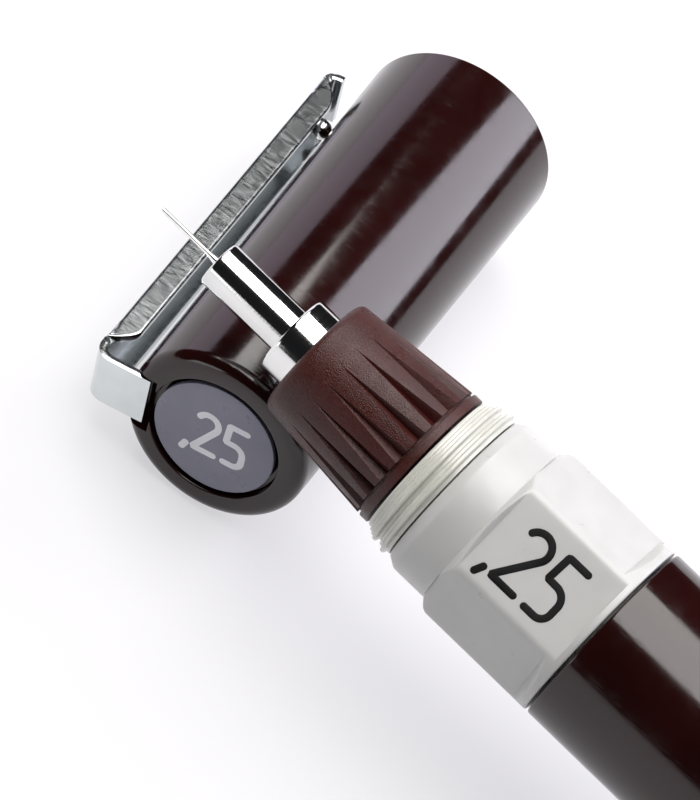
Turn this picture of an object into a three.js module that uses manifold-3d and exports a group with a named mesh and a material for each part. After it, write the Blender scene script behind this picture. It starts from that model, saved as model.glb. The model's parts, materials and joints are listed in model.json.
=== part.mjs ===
// A refillable technical drawing pen for a 0.25 mm line, uncapped and leaning on its own cap.
//
// Millimetres, +Z up. The surface that the pen and the cap lie on is z = 0, and the origin is
// under the middle of the whole arrangement. The pen points its tip towards -X and rests the
// rear edge of its barrel on the surface. The cap lies across under the nib, closed end at -Y.
//
// Inside the pen group, +Z runs along the pen from the writing tip to the rear, with zero at the
// tip. Inside the cap group, +Z runs from the closed end to the mouth, with zero at the closed end.

import * as THREE from "three";
import { mergeVertices } from "three/addons/utils/BufferGeometryUtils.js";
import Module from "manifold-3d";

const SIDES = 40; // facets round a large turned piece
const FINE_SIDES = 24; // facets round a small turned piece
const WELD = 1e-4; // points closer than this are one point
const GAP = 0.3; // room left where one piece rests on another
const FIT = 0.2; // room left round a piece that sits in a bore

// Nib: stations along the pen, from the tip.
const LINE_WIDTH = 0.25;
const TUBE_RADIUS = LINE_WIDTH / 2 + 0.005;
const TUBE_BORE = 0.075;
const TUBE_ROOT = 3.3;
const TUBE_NECK = 4.6;
const TUBE_TAIL = 4.9;
const TUBE_REAR = 7;
const SHELL_FRONT = 4.1;
const SHELL_STEP = 9.48;
const POINT_COLLAR_REAR = 11.5;
const SPIGOT_REAR = 16.6;
const CONE_FRONT = 11.14;
const CONE_SHOULDER = 11.76;
const CONE_REAR = 18.68;
const FLANGE_FRONT = 18.88;
const FLANGE_REAR = 19.4;

// Nib: radii.
const TUBE_ROOT_RADIUS = 0.24;
const TUBE_TAIL_RADIUS = 0.45;
const WIRE_RADIUS = 0.045;
const SHELL_MOUTH_RADIUS = 0.3;
const SHELL_BORE = 0.75;
const POINT_ROUND = 0.2;
const POINT_RADIUS = 1.38;
const POINT_COLLAR_RADIUS = 2.36;
const SPIGOT_RADIUS = 2.0;
const CONE_FRONT_RADIUS = 3.2;
const CONE_SHOULDER_RADIUS = 3.775;
const CONE_REAR_RADIUS = 4.38;
const GROOVE_RADIUS = 4.12;
const FLANGE_RADIUS = 4.425;
const POINT_FIT = 0.12; // room round the collar of the point in the cone

// Flutes of the nib cone.
const FLUTES = 20;
const FLUTE_START = 12.9;
const FLUTE_DEPTH = 0.42;
const FLUTE_SHARE = 0.64; // part of the rim that a flute takes away at its rear

// Ink feed, weight and reservoir.
const WEIGHT_RADIUS = 1.35;
const WEIGHT_FRONT = 14.2;
const WEIGHT_REAR = 32.5;
const WIRE_FRONT = 0.9;
const CORE_NECK = 19.3;
const CORE_SHOULDER = 19.75;
const CORE_THREAD = 20.2;
const CORE_REAR = 36.2;
const STOP_RADIUS = 2.3;
const STOP_BORE = 0.5;
const STOP_HEAD = 0.9; // how far the head of the stop reaches behind the core
const NIB_SEAL_RADIUS = 3.27;
const NIB_SEAL_STATION = 19.74;
const NIB_SEAL_SECTION = 0.19;
const THREAD_RADIUS = 3.0;
const THREAD_END = 26;
const FEED_RADIUS = 2.5;
const CHANNEL_TURNS = 5;
const CHANNEL_RADIUS = 0.32;
const RESERVOIR_RADIUS = 3.3;
const RESERVOIR_FRONT = 29.4;
const RESERVOIR_REAR = 92;
const RESERVOIR_DOME = 1.6;
const RESERVOIR_WALL = 0.7;

// Front section: snap ring, size collar and the sleeve inside them.
const RING_FRONT = 19.55;
const RING_REAR = 21.45;
const RING_FRONT_RADIUS = 4.38;
const FRONT_RIDGE = 20.4;
const FRONT_RIDGE_RADIUS = 4.85;
const RING_VALLEY = 20.63;
const RING_VALLEY_RADIUS = 4.62;
const REAR_RIDGE = 21.15;
const REAR_RIDGE_RADIUS = 5.025;
const RING_REAR_RADIUS = 4.835;
const COLLAR_FRONT = 21.55;
const COLLAR_SHOULDER = 22.2;
const COLLAR_STEP = 24.34;
const COLLAR_REAR = 32.35;
const NECK_RADIUS = 5.205;
const NECK_ROUND = 0.4;
const SLEEVE_RADIUS = 4.0;
const SLEEVE_FRONT = 20.1;
const SLEEVE_REAR = 41;
const SLEEVE_STEP = 34.2;
const SLEEVE_LAND_RADIUS = 4.5;
const SLEEVE_BORE_STEP = 27;
const SLEEVE_FIT = 0.15; // room round the sleeve in the ring and the collar
const FLATS = 6;
const FLAT_HEIGHT = 5.05; // distance of a flat from the axis
const FLAT_WIDTH = 8;
const FLAT_WALL_FRONT = 24.85; // foot of the sloped wall of every second flat
const FLAT_END = 31.85;
const FLAT_WALL_REAR = 31.4; // foot of the sloped wall of the flats between them

// Barrel.
const BODY_RADIUS = 5.75;
const BARREL_FRONT = 32.5;
const BARREL_TAPER = 66;
const BARREL_REAR = 130;
const REAR_RADIUS = 4.9;
const BARREL_WALL = 1.0;
const BARREL_ROUND = 0.8;
const MOUTH_CHAMFER = 0.15;
const SEAL_GROOVE_RADIUS = 5.2;
const SEAL_GROOVE_FRONT = 32.8;
const SEAL_GROOVE_REAR = 34.1;
const SEAL_RADIUS = 5.0;
const SEAL_BORE = 4.65;
const SEAL_FRONT = 33.1;
const SEAL_REAR = 33.8;
const PLUG_SEAT = 124;
const PLUG_FRONT = 123.6;

// Cap: stations from its closed end.
const CAP_LENGTH = 29;
const CAP_END_RADIUS = 5.45;
const CAP_FLOOR = 2.0;
const CAP_BORE = 4.95;
const MOUTH_BORE = 5.25;
const MOUTH_STEP = 24.2;
const END_ROUND = 0.8;
const DISC_RECESS_RADIUS = 3.95;
const DISC_RECESS_DEPTH = 0.65;
const SLOT_DEPTH = 1.05;
const LINER_RADIUS = 4.6;
const LINER_BORE = 3.9;
const LINER_LIP_BORE = 3.05;
const LINER_LIP = 14.2;
const LINER_MOUTH = 14.8;
const SEAL_MOUTH = 15.0;
const SEAL_FLANGE = 13.2;
const SEAL_FLANGE_RADIUS = 3.6;
const SEAL_CLOSED_END = 3.4;
const SEAL_WALL = 0.8;
const CUP_RADIUS = 2.3;
const CUP_BORE = 1.6;
const CUP_LIP_RADIUS = 2.75;
const SPRING_RADIUS = 3.05;
const SPRING_WIRE = 0.2;
const SPRING_TURNS = 5;
const DISC_FACE = 0.05;

// Clip, placed on the +X side of the cap group.
const CLIP_WIDTH = 3.2;
const CLIP_TOP = 7.9;
const CLIP_FOOT = 6.2;
const CLIP_SHEET = 0.45;
const CLIP_TIP = 27.6;
const CLIP_BALL_PLACE = 24.7;
const CLIP_BALL_RADIUS = 0.62;
const BALL_CLEARANCE = 0.15;
const CLIP_STEM_RADIUS = 0.3;
const CLIP_STEM_LENGTH = 1.3;
const HEAD_FRONT = 0.15;
const HEAD_REAR = 0.75;

// How the two groups lie.
const PEN_INCLINE = THREE.MathUtils.degToRad(4.7); // the tip is the high end
const PEN_ROLL = THREE.MathUtils.degToRad(221.6); // turns the marked flat up and to -Y
const CAP_YAW = THREE.MathUtils.degToRad(7.3);
const CAP_TILT = Math.atan((BODY_RADIUS - CAP_END_RADIUS) / CAP_LENGTH);
const CLIP_ROLL = THREE.MathUtils.degToRad(168); // turns the clip to -X and a little down
const CAP_CROSSING = 9.1; // how far behind the tip the closed end of the cap stands
const CAP_OVERHANG = 1.2; // how far the closed end stands out on the -Y side of the pen's axis

const MAROON = 0x42211f;
const NATURAL = 0xd9dccb;
const WHITE = 0xe4e4e1;
const STEEL = 0xd2d4d6;
const RUBBER = 0x262626;

const wasm = await Module();
wasm.setup();

const plastic = (color, roughness) =>
  new THREE.MeshStandardMaterial({ color, roughness, metalness: 0 });
const metal = (color, roughness) =>
  new THREE.MeshStandardMaterial({ color, roughness, metalness: 1 });

// A solid of revolution about +Z. The outline lists [radius, station] up the outside.
function turned(outline, sides) {
  const points = outline.map(([radius, station]) => new THREE.Vector2(radius, station));
  return new THREE.LatheGeometry(points, sides).rotateX(Math.PI / 2);
}

// A turned bar: its outline starts and ends on the axis.
function bar(outer, sides = SIDES) {
  const front = [0, outer[0][1]];
  const rear = [0, outer[outer.length - 1][1]];
  return turned([front, ...outer, rear], sides);
}

// A turned tube: the outside and the bore both run from front to rear, and close on each other.
function tube(outer, bore, sides = SIDES) {
  return turned([...outer, ...[...bore].reverse(), outer[0]], sides);
}

// A ring of round section about +Z.
function roundRing(radius, station, section) {
  const steps = 10;
  const outline = [];
  for (let i = 0; i <= steps; i += 1) {
    const turn = (2 * Math.PI * i) / steps;
    outline.push([radius + section * Math.cos(turn), station + section * Math.sin(turn)]);
  }
  return turned(outline, FINE_SIDES);
}

// Points of a quarter round that turns from facing the front to facing outwards.
function quarterRound(radius, station, size, steps = 4) {
  const points = [];
  for (let i = 0; i <= steps; i += 1) {
    const turn = (0.5 * Math.PI * i) / steps;
    points.push([
      radius - size + size * Math.sin(turn),
      station + size - size * Math.cos(turn),
    ]);
  }
  return points;
}

// A flat shape in the plane of station (x) and radius (y), extruded across by its width.
function sideCut(corners, width) {
  const points = corners.map(([station, radius]) => new THREE.Vector2(station, radius));
  const shape = new THREE.Shape(points);
  const geometry = new THREE.ExtrudeGeometry(shape, { depth: width, bevelEnabled: false });
  geometry.translate(0, 0, -width / 2);
  const stationToZ = new THREE.Matrix4().makeBasis(
    new THREE.Vector3(0, 0, 1),
    new THREE.Vector3(1, 0, 0),
    new THREE.Vector3(0, 1, 0),
  );
  return geometry.applyMatrix4(stationToZ);
}

// A round wire along a helix about +Z.
function helix(radius, start, end, turns, section, stepsPerTurn, sides) {
  class Helix extends THREE.Curve {
    getPoint(t, target = new THREE.Vector3()) {
      const angle = 2 * Math.PI * turns * t;
      const station = start + (end - start) * t;
      return target.set(radius * Math.cos(angle), radius * Math.sin(angle), station);
    }
  }
  const outline = [];
  for (let i = 0; i < sides; i += 1) {
    const turn = (2 * Math.PI * i) / sides;
    outline.push(new THREE.Vector2(section * Math.cos(turn), section * Math.sin(turn)));
  }
  return new THREE.ExtrudeGeometry(new THREE.Shape(outline), {
    steps: Math.round(turns * stepsPerTurn),
    extrudePath: new Helix(),
    bevelEnabled: false,
  });
}

function toSolid(geometry) {
  const bare = geometry.clone();
  bare.deleteAttribute("normal");
  bare.deleteAttribute("uv");
  const merged = mergeVertices(bare, WELD);
  const vertProperties = merged.attributes.position.array;
  const triVerts = new Uint32Array(merged.index.array);
  return new wasm.Manifold(new wasm.Mesh({ numProp: 3, vertProperties, triVerts }));
}

function toGeometry(solid) {
  const { vertProperties, triVerts } = solid.getMesh();
  const geometry = new THREE.BufferGeometry();
  geometry.setAttribute("position", new THREE.BufferAttribute(vertProperties, 3));
  geometry.setIndex(new THREE.BufferAttribute(triVerts, 1));
  geometry.computeVertexNormals();
  return geometry;
}

function cutAway(body, cutters) {
  let solid = toSolid(body);
  for (const cutter of cutters) {
    solid = solid.subtract(toSolid(cutter));
  }
  return toGeometry(solid);
}

function piece(name, geometry, material) {
  const mesh = new THREE.Mesh(geometry, material);
  mesh.name = name;
  return mesh;
}

// The fine steel tube that draws the line. It widens into a root that is held in the point shell.
function writingTube() {
  const tipRound = 0.03;
  const outer = [
    [TUBE_RADIUS - tipRound, 0],
    [TUBE_RADIUS, tipRound],
    [TUBE_RADIUS, TUBE_ROOT],
    [TUBE_ROOT_RADIUS, SHELL_FRONT],
    [TUBE_ROOT_RADIUS, TUBE_NECK],
    [TUBE_TAIL_RADIUS, TUBE_TAIL],
    [TUBE_TAIL_RADIUS, TUBE_REAR],
  ];
  const bore = [
    [TUBE_BORE, 0],
    [TUBE_BORE, TUBE_REAR],
  ];
  return piece("writing_tube", tube(outer, bore, 12), metal(STEEL, 0.25));
}

// The wire on the drop weight, which clears the bore of the writing tube.
function cleaningWire() {
  const outer = [
    [WIRE_RADIUS, WIRE_FRONT],
    [WIRE_RADIUS, WEIGHT_FRONT - GAP],
  ];
  return piece("cleaning_wire", bar(outer, 8), metal(STEEL, 0.4));
}

// The weight that falls forward when the pen is shaken. Its nose fits the cone in the shell.
function dropWeight() {
  const noseRadius = 0.6;
  const noseLength = 1;
  const chamfer = 0.4;
  const outer = [
    [noseRadius, WEIGHT_FRONT],
    [WEIGHT_RADIUS, WEIGHT_FRONT + noseLength],
    [WEIGHT_RADIUS, WEIGHT_REAR - chamfer],
    [WEIGHT_RADIUS - chamfer, WEIGHT_REAR],
  ];
  return piece("drop_weight", bar(outer, FINE_SIDES), metal(0xb59a5b, 0.35));
}

// The polished stepped shell that carries the writing tube.
function pointShell() {
  const roundSteps = 2;
  const outer = [
    ...quarterRound(POINT_RADIUS, SHELL_FRONT, POINT_ROUND, roundSteps),
    [POINT_RADIUS, SHELL_STEP],
    ...quarterRound(POINT_COLLAR_RADIUS, SHELL_STEP, POINT_ROUND, roundSteps),
    [POINT_COLLAR_RADIUS, POINT_COLLAR_REAR],
    [SPIGOT_RADIUS, POINT_COLLAR_REAR],
    [SPIGOT_RADIUS, SPIGOT_REAR],
  ];
  const bore = [
    [SHELL_MOUTH_RADIUS, SHELL_FRONT],
    [SHELL_MOUTH_RADIUS, 4.45],
    [SHELL_BORE, 4.7],
    [SHELL_BORE, 12.5],
    [WEIGHT_RADIUS + FIT, 13.3],
    [WEIGHT_RADIUS + FIT, SPIGOT_REAR],
  ];
  return piece("point_shell", tube(outer, bore), metal(STEEL, 0.12));
}

// One flute cutter: a four-sided spike whose point is at the front of the flute and whose
// lower half sinks into the cone as it runs back.
function fluteCutter(index) {
  const pitch = (2 * Math.PI) / FLUTES;
  const length = CONE_REAR + 0.1 - FLUTE_START;
  const halfWidth = CONE_REAR_RADIUS * Math.sin((pitch * FLUTE_SHARE) / 2);
  const coneSlope =
    (CONE_REAR_RADIUS - CONE_SHOULDER_RADIUS) / (CONE_REAR - CONE_SHOULDER);
  const spike = new THREE.ConeGeometry(1, length, 4);
  spike.translate(0, -length / 2, 0); // point at the origin, base behind it
  spike.rotateX(-Math.PI / 2); // the spike now runs back along +Z
  spike.scale(FLUTE_DEPTH, halfWidth, 1);
  spike.rotateY(Math.atan(coneSlope));
  const startRadius = CONE_SHOULDER_RADIUS + coneSlope * (FLUTE_START - CONE_SHOULDER);
  spike.translate(startRadius, 0, FLUTE_START);
  return spike.rotateZ(pitch * (index + 0.5));
}

// The fluted grip of the nib: a domed front, a slight taper, and a plain flange behind a groove.
function nibCone() {
  const shoulder = CONE_SHOULDER_RADIUS - CONE_FRONT_RADIUS;
  const outer = [
    ...quarterRound(CONE_SHOULDER_RADIUS, CONE_FRONT, shoulder),
    [CONE_REAR_RADIUS, CONE_REAR],
    [GROOVE_RADIUS, CONE_REAR],
    [GROOVE_RADIUS, FLANGE_FRONT],
    [FLANGE_RADIUS, FLANGE_FRONT],
    [FLANGE_RADIUS, FLANGE_REAR],
  ];
  const bore = [
    [POINT_COLLAR_RADIUS + POINT_FIT, CONE_FRONT],
    [POINT_COLLAR_RADIUS + POINT_FIT, POINT_COLLAR_REAR + GAP],
    [SPIGOT_RADIUS + FIT, POINT_COLLAR_REAR + GAP],
    [SPIGOT_RADIUS + FIT, FLANGE_REAR],
  ];
  const cutters = [];
  for (let i = 0; i < FLUTES; i += 1) {
    cutters.push(fluteCutter(i));
  }
  return piece("nib_cone", cutAway(tube(outer, bore), cutters), plastic(MAROON, 0.45));
}

// The core of the nib: screw land at the front, then the feed with its spiral air channel.
function nibCore() {
  const front = SPIGOT_REAR + GAP;
  const landRadius = THREAD_RADIUS - 0.15;
  const outer = [
    [SPIGOT_RADIUS, front],
    [SPIGOT_RADIUS, CORE_NECK],
    [landRadius, CORE_SHOULDER],
    [landRadius, CORE_THREAD],
    [THREAD_RADIUS, CORE_THREAD + FIT],
    [THREAD_RADIUS, THREAD_END],
    [FEED_RADIUS, THREAD_END + 0.4],
    [FEED_RADIUS, CORE_REAR],
  ];
  const bore = [
    [WEIGHT_RADIUS + FIT, front],
    [WEIGHT_RADIUS + FIT, CORE_REAR],
  ];
  const channel = helix(
    FEED_RADIUS, THREAD_END + 0.9, CORE_REAR + 0.6, CHANNEL_TURNS, CHANNEL_RADIUS, 12, 4,
  );
  return piece("nib_core", cutAway(tube(outer, bore), [channel]), plastic(0xc9cbc4, 0.5));
}

// The plug that keeps the weight in the feed and lets ink through.
function weightStop() {
  const outer = [
    [WEIGHT_RADIUS, WEIGHT_REAR + GAP],
    [WEIGHT_RADIUS, CORE_REAR + GAP],
    [STOP_RADIUS, CORE_REAR + GAP],
    [STOP_RADIUS, CORE_REAR + STOP_HEAD],
  ];
  const bore = [
    [STOP_BORE, WEIGHT_REAR + GAP],
    [STOP_BORE, CORE_REAR + STOP_HEAD],
  ];
  return piece("weight_stop", tube(outer, bore, FINE_SIDES), plastic(0x8a8d8c, 0.5));
}

// The seal behind the flange, carried by the nib as it is screwed in.
function nibSeal() {
  const ring = roundRing(NIB_SEAL_RADIUS, NIB_SEAL_STATION, NIB_SEAL_SECTION);
  return piece("nib_seal", ring, plastic(RUBBER, 0.7));
}

// The clear ink reservoir, pushed over the feed.
function reservoir() {
  const rear = RESERVOIR_REAR;
  const outer = [
    [RESERVOIR_RADIUS - 0.15, RESERVOIR_FRONT],
    [RESERVOIR_RADIUS, RESERVOIR_FRONT + 0.15],
    [RESERVOIR_RADIUS, rear - RESERVOIR_DOME],
    [RESERVOIR_RADIUS - 0.5, rear - 0.5],
    [RESERVOIR_RADIUS - RESERVOIR_DOME, rear],
    [0, rear],
  ];
  const bore = [
    [0, rear - RESERVOIR_WALL],
    [RESERVOIR_RADIUS - 1.8, rear - RESERVOIR_WALL],
    [FEED_RADIUS + FIT, rear - 1.8],
    [FEED_RADIUS + FIT, RESERVOIR_FRONT],
  ];
  const outline = [...outer, ...bore, outer[0]];
  return piece("reservoir", turned(outline, FINE_SIDES), plastic(0xdfe6e6, 0.15));
}

// The translucent ring whose two ridges hold the cap.
function snapRing() {
  const outer = [
    [RING_FRONT_RADIUS, RING_FRONT],
    [RING_FRONT_RADIUS + 0.085, RING_FRONT + 0.08],
    [FRONT_RIDGE_RADIUS, FRONT_RIDGE],
    [RING_VALLEY_RADIUS, RING_VALLEY],
    [REAR_RIDGE_RADIUS, REAR_RIDGE],
    [RING_REAR_RADIUS, RING_REAR],
  ];
  const bore = [
    [SLEEVE_RADIUS + SLEEVE_FIT, RING_FRONT],
    [SLEEVE_RADIUS + SLEEVE_FIT, RING_REAR],
  ];
  return piece("snap_ring", tube(outer, bore), plastic(NATURAL, 0.35));
}

// The cutters that leave the flats of the collar. Every second flat has a sloped wall at its
// front, and the flats between them have it at their rear.
function flatCutters() {
  const away = BODY_RADIUS + 1;
  const slope = away - FLAT_HEIGHT;
  const wallAtFront = [
    [FLAT_WALL_FRONT, FLAT_HEIGHT],
    [FLAT_END, FLAT_HEIGHT],
    [FLAT_END, away],
    [FLAT_WALL_FRONT - slope, away],
  ];
  const wallAtRear = [
    [COLLAR_STEP, FLAT_HEIGHT],
    [FLAT_WALL_REAR, FLAT_HEIGHT],
    [FLAT_WALL_REAR + slope, away],
    [COLLAR_STEP, away],
  ];
  const cutters = [];
  for (let i = 0; i < FLATS; i += 1) {
    const corners = i % 2 === 0 ? wallAtFront : wallAtRear;
    cutters.push(sideCut(corners, FLAT_WIDTH).rotateZ((2 * Math.PI * i) / FLATS));
  }
  return cutters;
}

// The white collar that is marked with the line width.
function sizeCollar() {
  const outer = [
    [RING_REAR_RADIUS, COLLAR_FRONT],
    [NECK_RADIUS - 0.12, COLLAR_SHOULDER - NECK_ROUND],
    [NECK_RADIUS - 0.03, COLLAR_SHOULDER - NECK_ROUND / 2],
    [NECK_RADIUS, COLLAR_SHOULDER],
    [NECK_RADIUS, COLLAR_STEP],
    [BODY_RADIUS - 0.12, COLLAR_STEP + 0.42],
    [BODY_RADIUS, COLLAR_STEP + 0.6],
    [BODY_RADIUS, COLLAR_REAR],
  ];
  const bore = [
    [SLEEVE_RADIUS + SLEEVE_FIT, COLLAR_FRONT],
    [SLEEVE_RADIUS + SLEEVE_FIT, COLLAR_REAR],
  ];
  const body = cutAway(tube(outer, bore), flatCutters());
  return piece("size_collar", body, plastic(WHITE, 0.35));
}

// The sleeve that the snap ring and the collar sit on. The nib screws into its front and the
// barrel screws over its rear.
function sectionSleeve() {
  const outer = [
    [SLEEVE_RADIUS, SLEEVE_FRONT],
    [SLEEVE_RADIUS, SLEEVE_STEP],
    [SLEEVE_LAND_RADIUS, SLEEVE_STEP + FIT],
    [SLEEVE_LAND_RADIUS, SLEEVE_REAR],
  ];
  const bore = [
    [THREAD_RADIUS + GAP, SLEEVE_FRONT],
    [THREAD_RADIUS + GAP, SLEEVE_BORE_STEP],
    [RESERVOIR_RADIUS + GAP, SLEEVE_BORE_STEP + 0.4],
    [RESERVOIR_RADIUS + GAP, SLEEVE_REAR],
  ];
  return piece("section_sleeve", tube(outer, bore), plastic(0xbfc2bf, 0.5));
}

// The seal in the mouth of the barrel, which travels with the barrel.
function barrelSeal() {
  const outer = [
    [SEAL_RADIUS, SEAL_FRONT],
    [SEAL_RADIUS, SEAL_REAR],
  ];
  const bore = [
    [SEAL_BORE, SEAL_FRONT],
    [SEAL_BORE, SEAL_REAR],
  ];
  return piece("barrel_seal", tube(outer, bore), plastic(RUBBER, 0.7));
}

// The barrel: straight at the front, slightly tapered to the rear, open at both ends.
function barrel() {
  const outer = [
    [BODY_RADIUS - MOUTH_CHAMFER, BARREL_FRONT],
    [BODY_RADIUS, BARREL_FRONT + MOUTH_CHAMFER],
    [BODY_RADIUS, BARREL_TAPER],
    [REAR_RADIUS, BARREL_REAR - BARREL_ROUND],
    [REAR_RADIUS - 0.23, BARREL_REAR - 0.23],
    [REAR_RADIUS - BARREL_ROUND, BARREL_REAR],
  ];
  const bore = [
    [BODY_RADIUS - BARREL_WALL, BARREL_FRONT],
    [BODY_RADIUS - BARREL_WALL, SEAL_GROOVE_FRONT],
    [SEAL_GROOVE_RADIUS, SEAL_GROOVE_FRONT],
    [SEAL_GROOVE_RADIUS, SEAL_GROOVE_REAR],
    [BODY_RADIUS - BARREL_WALL, SEAL_GROOVE_REAR],
    [BODY_RADIUS - BARREL_WALL, BARREL_TAPER],
    [REAR_RADIUS - BARREL_WALL, PLUG_SEAT],
    [REAR_RADIUS - BARREL_WALL, BARREL_REAR],
  ];
  return piece("barrel", tube(outer, bore), plastic(MAROON, 0.18));
}

// The plug that closes the rear of the barrel.
function endPlug() {
  const radius = REAR_RADIUS - BARREL_WALL - FIT;
  const outer = [
    [radius - 0.4, PLUG_FRONT],
    [radius, PLUG_SEAT],
    [radius, BARREL_REAR - 0.6],
    [radius - 0.3, BARREL_REAR - GAP],
  ];
  return piece("end_plug", bar(outer, FINE_SIDES), plastic(MAROON, 0.3));
}

// The cap, with a recess for the disc in its closed end and a slot for the clip's head.
function capShell() {
  const outline = [
    [0, DISC_RECESS_DEPTH],
    [DISC_RECESS_RADIUS, DISC_RECESS_DEPTH],
    [DISC_RECESS_RADIUS, 0],
    ...quarterRound(CAP_END_RADIUS, 0, END_ROUND),
    [BODY_RADIUS, CAP_LENGTH - MOUTH_CHAMFER],
    [BODY_RADIUS - MOUTH_CHAMFER, CAP_LENGTH],
    [MOUTH_BORE + MOUTH_CHAMFER, CAP_LENGTH],
    [MOUTH_BORE, CAP_LENGTH - 0.2],
    [MOUTH_BORE, MOUTH_STEP],
    [CAP_BORE, MOUTH_STEP - GAP],
    [CAP_BORE, CAP_FLOOR],
    [0, CAP_FLOOR],
  ];
  const slotFoot = DISC_RECESS_RADIUS - 0.15;
  const slotCorners = [
    [-1, slotFoot],
    [SLOT_DEPTH, slotFoot],
    [SLOT_DEPTH, BODY_RADIUS + 1],
    [-1, BODY_RADIUS + 1],
  ];
  const slot = sideCut(slotCorners, CLIP_WIDTH + 2 * GAP);
  return piece("cap_shell", cutAway(turned(outline, SIDES), [slot]), plastic(MAROON, 0.2));
}

// The sleeve fixed in the closed end of the cap, with a lip that keeps the seal in.
function capLiner() {
  const chamfer = 0.3;
  const outer = [
    [LINER_RADIUS, CAP_FLOOR + GAP],
    [LINER_RADIUS, LINER_MOUTH - chamfer],
    [LINER_RADIUS - chamfer, LINER_MOUTH],
  ];
  const bore = [
    [LINER_BORE, CAP_FLOOR + GAP],
    [LINER_BORE, LINER_LIP],
    [LINER_LIP_BORE, LINER_LIP],
    [LINER_LIP_BORE, LINER_MOUTH],
  ];
  return piece("cap_liner", tube(outer, bore, FINE_SIDES), plastic(0xcfd0cb, 0.5));
}

// The soft cup that closes over the point of the nib when the cap is on.
function sealCup() {
  const flange = 0.7;
  const outer = [
    [0, SEAL_CLOSED_END],
    [CUP_RADIUS - FIT, SEAL_CLOSED_END],
    [CUP_RADIUS, SEAL_CLOSED_END + FIT],
    [CUP_RADIUS, SEAL_FLANGE],
    [SEAL_FLANGE_RADIUS, SEAL_FLANGE],
    [SEAL_FLANGE_RADIUS, SEAL_FLANGE + flange],
    [CUP_LIP_RADIUS, SEAL_FLANGE + flange],
    [CUP_LIP_RADIUS, SEAL_MOUTH],
  ];
  const bore = [
    [CUP_BORE, SEAL_MOUTH],
    [CUP_BORE, SEAL_CLOSED_END + SEAL_WALL],
    [0, SEAL_CLOSED_END + SEAL_WALL],
  ];
  return piece("seal_cup", turned([...outer, ...bore], FINE_SIDES), plastic(0x3a3a3c, 0.7));
}

// The spring that pushes the cup forward against the lip of the liner.
function sealSpring() {
  const start = CAP_FLOOR + GAP + SPRING_WIRE;
  const end = SEAL_FLANGE - GAP - SPRING_WIRE;
  const coil = helix(SPRING_RADIUS, start, end, SPRING_TURNS, SPRING_WIRE, 12, 6);
  return piece("seal_spring", coil, metal(STEEL, 0.35));
}

// The pale disc let into the closed end.
function capDisc() {
  const radius = DISC_RECESS_RADIUS - GAP;
  const outer = [
    [radius - 0.1, DISC_FACE],
    [radius, DISC_FACE + 0.07],
    [radius, DISC_RECESS_DEPTH - GAP],
  ];
  return piece("cap_disc", bar(outer), plastic(0x9a9cb0, 0.4));
}

// The plate of the clip that lies in the slot of the closed end.
function clipHead() {
  const edgeRound = 0.2;
  const corners = [
    [HEAD_FRONT, DISC_RECESS_RADIUS + GAP],
    [HEAD_REAR, DISC_RECESS_RADIUS + GAP],
    [HEAD_REAR, CLIP_TOP],
    [HEAD_FRONT + edgeRound, CLIP_TOP],
    [HEAD_FRONT, CLIP_TOP - edgeRound],
  ];
  return piece("clip_head", sideCut(corners, CLIP_WIDTH), metal(STEEL, 0.25));
}

// The sprung arm of the clip: a channel open towards the cap, narrower at its tip.
function clipArm() {
  const root = HEAD_REAR + GAP;
  const corners = [
    [root, CLIP_FOOT],
    [CLIP_TIP - 2.4, CLIP_FOOT],
    [CLIP_TIP - 0.6, CLIP_FOOT + 0.6],
    [CLIP_TIP, CLIP_TOP - 0.7],
    [CLIP_TIP - 0.3, CLIP_TOP],
    [root, CLIP_TOP],
  ];
  const channelCorners = [
    [root - 1, CLIP_FOOT - 1],
    [CLIP_TIP - 0.9, CLIP_FOOT - 1],
    [CLIP_TIP - 0.9, CLIP_TOP - CLIP_SHEET],
    [root - 1, CLIP_TOP - CLIP_SHEET],
  ];
  const channel = sideCut(channelCorners, CLIP_WIDTH - 2 * CLIP_SHEET);
  const body = cutAway(sideCut(corners, CLIP_WIDTH), [channel]);
  return piece("clip_arm", body, metal(STEEL, 0.25));
}

// The ball on a short stem that grips the pocket against the cap.
function clipBall() {
  const outline = [[0, 0]];
  const steps = 8;
  for (let i = 1; i < steps; i += 1) {
    const turn = (Math.PI * i) / steps;
    outline.push([
      CLIP_BALL_RADIUS * Math.sin(turn),
      CLIP_BALL_RADIUS * (1 - Math.cos(turn)),
    ]);
  }
  outline.push(
    [CLIP_STEM_RADIUS, 2 * CLIP_BALL_RADIUS],
    [CLIP_STEM_RADIUS, CLIP_STEM_LENGTH],
    [0, CLIP_STEM_LENGTH],
  );
  const mesh = piece("clip_ball", turned(outline, 16), metal(STEEL, 0.2));
  mesh.rotation.y = Math.PI / 2;
  mesh.position.set(BODY_RADIUS + BALL_CLEARANCE, 0, CLIP_BALL_PLACE);
  return mesh;
}

function penGroup() {
  const rolled = new THREE.Group();
  rolled.rotation.z = PEN_ROLL;
  rolled.add(
    writingTube(), cleaningWire(), dropWeight(), pointShell(), nibCone(), nibCore(),
    weightStop(), nibSeal(), reservoir(), snapRing(), sizeCollar(), sectionSleeve(),
    barrelSeal(), barrel(), endPlug(),
  );
  const pen = new THREE.Group();
  pen.rotation.y = Math.PI / 2 + PEN_INCLINE;
  const restingStation = BARREL_REAR - BARREL_ROUND; // where the rear edge of the barrel touches
  pen.position.z =
    REAR_RADIUS * Math.cos(PEN_INCLINE) + restingStation * Math.sin(PEN_INCLINE);
  pen.add(rolled);
  return pen;
}

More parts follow.
